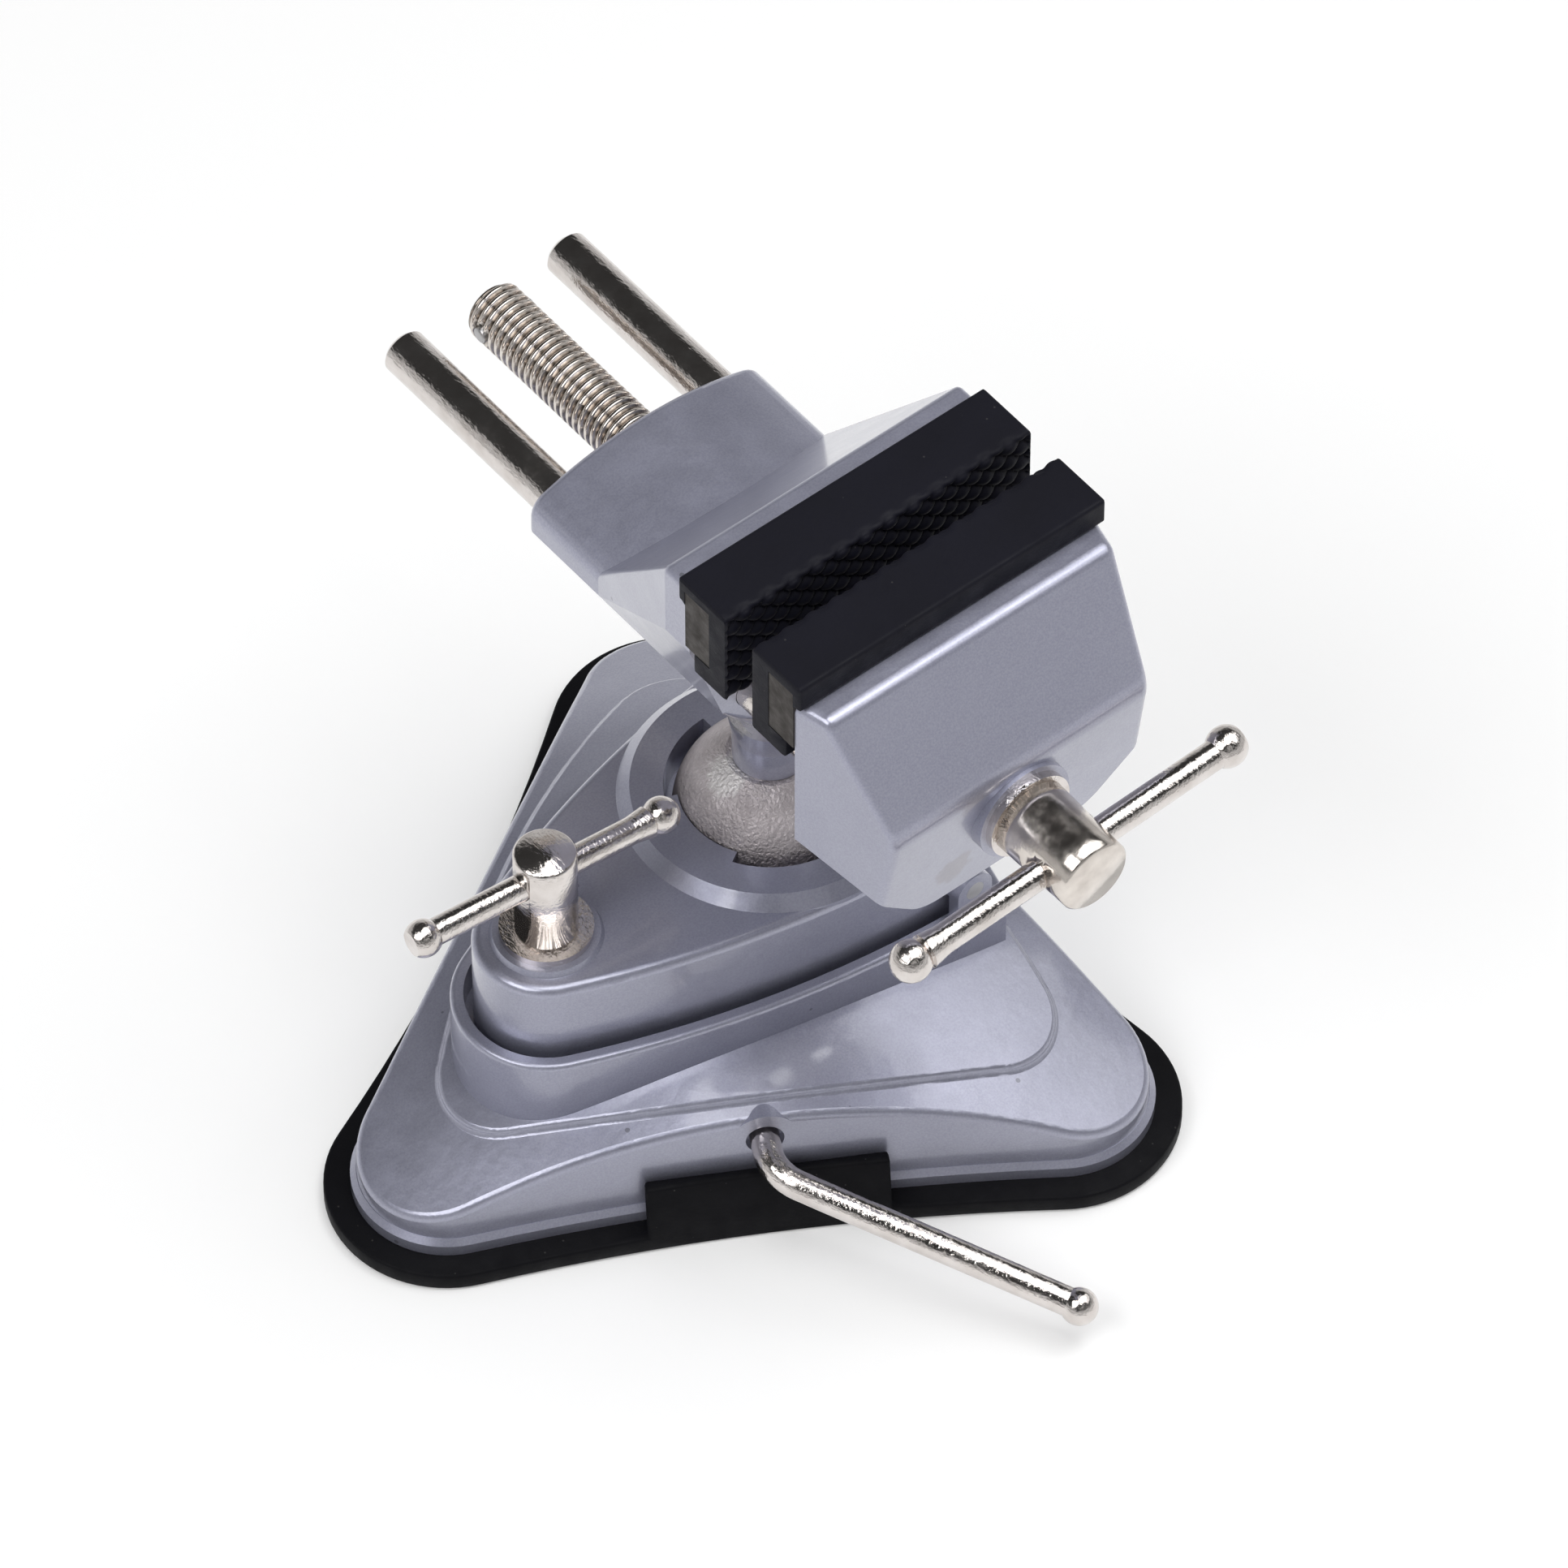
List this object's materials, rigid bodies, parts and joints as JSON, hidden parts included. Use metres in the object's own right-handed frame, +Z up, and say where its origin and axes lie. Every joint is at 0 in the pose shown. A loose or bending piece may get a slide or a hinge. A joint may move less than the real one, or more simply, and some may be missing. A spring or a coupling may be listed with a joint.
{
  "type": "suction base vise",
  "caption": "Small bench vise on a ball joint, with rubber-covered jaws and a lever-operated suction base.",
  "frame": {"origin": "middle of the sole, on the surface that the base stands on", "axes": "+Z up; +X from the clamp screw to the ball, and across the jaws; -Y to the front, where the main screw's hub is"},
  "size_m": [0.145, 0.1862, 0.1609],
  "materials": {
    "casting_paint": "satin",
    "sole_rubber": "matte",
    "cover_rubber": "matte",
    "nickel": "polished",
    "screw_nickel": "polished",
    "blasted_steel": "blasted",
    "jaw_steel": "dull",
    "plain_steel": "satin"
  },
  "bodies": {
    "base": {"base_casting": "casting_paint", "suction_pad": "sole_rubber", "suction_membrane": "sole_rubber", "clamp_pivot_pins": "plain_steel"},
    "lift": {"lift_plate": "plain_steel", "lift_yoke": "plain_steel"},
    "lever": {"suction_lever": "nickel", "lever_cam": "plain_steel", "lever_clip": "plain_steel"},
    "clamp_lid": {"clamp_plate": "casting_paint"},
    "clamp_screw_rider": {"clamp_screw_washer": "nickel"},
    "clamp_screw_body": {"clamp_screw": "nickel"},
    "clamp_bar_body": {"clamp_bar": "nickel", "clamp_bar_cap": "nickel"},
    "seat": {"ball_seat": "plain_steel"},
    "ball_body": {"ball": "blasted_steel", "ball_screw": "plain_steel"},
    "head": {"rear_jaw": "casting_paint", "rear_jaw_plate": "jaw_steel", "rear_jaw_pad": "cover_rubber", "rear_jaw_screws": "plain_steel"},
    "sliding_jaw": {"front_jaw": "casting_paint", "front_jaw_plate": "jaw_steel", "front_jaw_pad": "cover_rubber", "front_jaw_screws": "plain_steel", "guide_rod_left": "nickel", "guide_rod_right": "nickel", "rod_pins": "plain_steel", "main_screw_washer": "nickel"},
    "main_screw_body": {"main_screw": "screw_nickel", "screw_retainer": "plain_steel", "stop_pin": "plain_steel"},
    "main_bar_body": {"main_bar": "nickel", "main_bar_cap": "nickel"}
  },
  "joints": [
    {"name": "suction_lever_turn", "type": "hinge", "parent": "base", "child": "lever", "pos_m": [0, 0, 0.0208], "axis": [-0.5, -0.866, 0], "range_deg": [0, 180]},
    {"name": "pad_lift", "type": "slide", "parent": "base", "child": "lift", "axis": [0, 0, 1], "range_m": [0, 0.0031], "deforming": ["suction_membrane"]},
    {"name": "clamp_screw_lift", "type": "slide", "parent": "base", "child": "clamp_screw_rider", "axis": [0, 0, 1], "range_m": [0, 0.0022]},
    {"name": "clamp_screw_turn", "type": "hinge", "parent": "clamp_screw_rider", "child": "clamp_screw_body", "pos_m": [-0.0418, 0, 0.06], "axis": [0, 0, 1], "range_deg": [-10, 650]},
    {"name": "clamp_bar_slide", "type": "slide", "parent": "clamp_screw_body", "child": "clamp_bar_body", "axis": [0.9956, -0.0941, 0], "range_m": [-0.0125, 0.0165]},
    {"name": "clamp_plate_hinge", "type": "hinge", "parent": "base", "child": "clamp_lid", "pos_m": [0.0308, 0, 0.046], "axis": [0, 1, 0], "range_deg": [0, 1.6]},
    {"name": "head_swivel", "type": "hinge", "parent": "base", "child": "seat", "pos_m": [0.0108, 0, 0.0527], "axis": [0, 0, 1], "range_deg": [-120, 120]},
    {"name": "head_tilt", "type": "hinge", "parent": "seat", "child": "ball_body", "pos_m": [0.0108, 0, 0.0527], "axis": [0, 1, 0], "range_deg": [-15, 45]},
    {"name": "head_spin", "type": "hinge", "parent": "ball_body", "child": "head", "pos_m": [0.0108, 0, 0.0527], "axis": [0, 0, 1], "continuous": true},
    {"name": "jaw_slide", "type": "slide", "parent": "head", "child": "sliding_jaw", "axis": [0, -1, 0], "range_m": [-0.0063, 0.038]},
    {"name": "main_screw_turn", "type": "hinge", "parent": "sliding_jaw", "child": "main_screw_body", "pos_m": [0.0108, -0.08, 0.1202], "axis": [0, -1, 0], "range_deg": [-1310, 7830]},
    {"name": "main_bar_slide", "type": "slide", "parent": "main_screw_body", "child": "main_bar_body", "axis": [0.9988, 0, 0.0488], "range_m": [-0.0243, 0.0212]}
  ],
  "couplings": [
    {"joint": "pad_lift", "follows": "suction_lever_turn", "m_per_rad": 0.00095492},
    {"joint": "clamp_screw_turn", "follows": "clamp_screw_lift", "rad_per_m": 5026.5},
    {"joint": "clamp_plate_hinge", "follows": "clamp_screw_lift", "rad_per_m": 12.2},
    {"joint": "main_screw_turn", "follows": "jaw_slide", "rad_per_m": 3590.4}
  ]
}
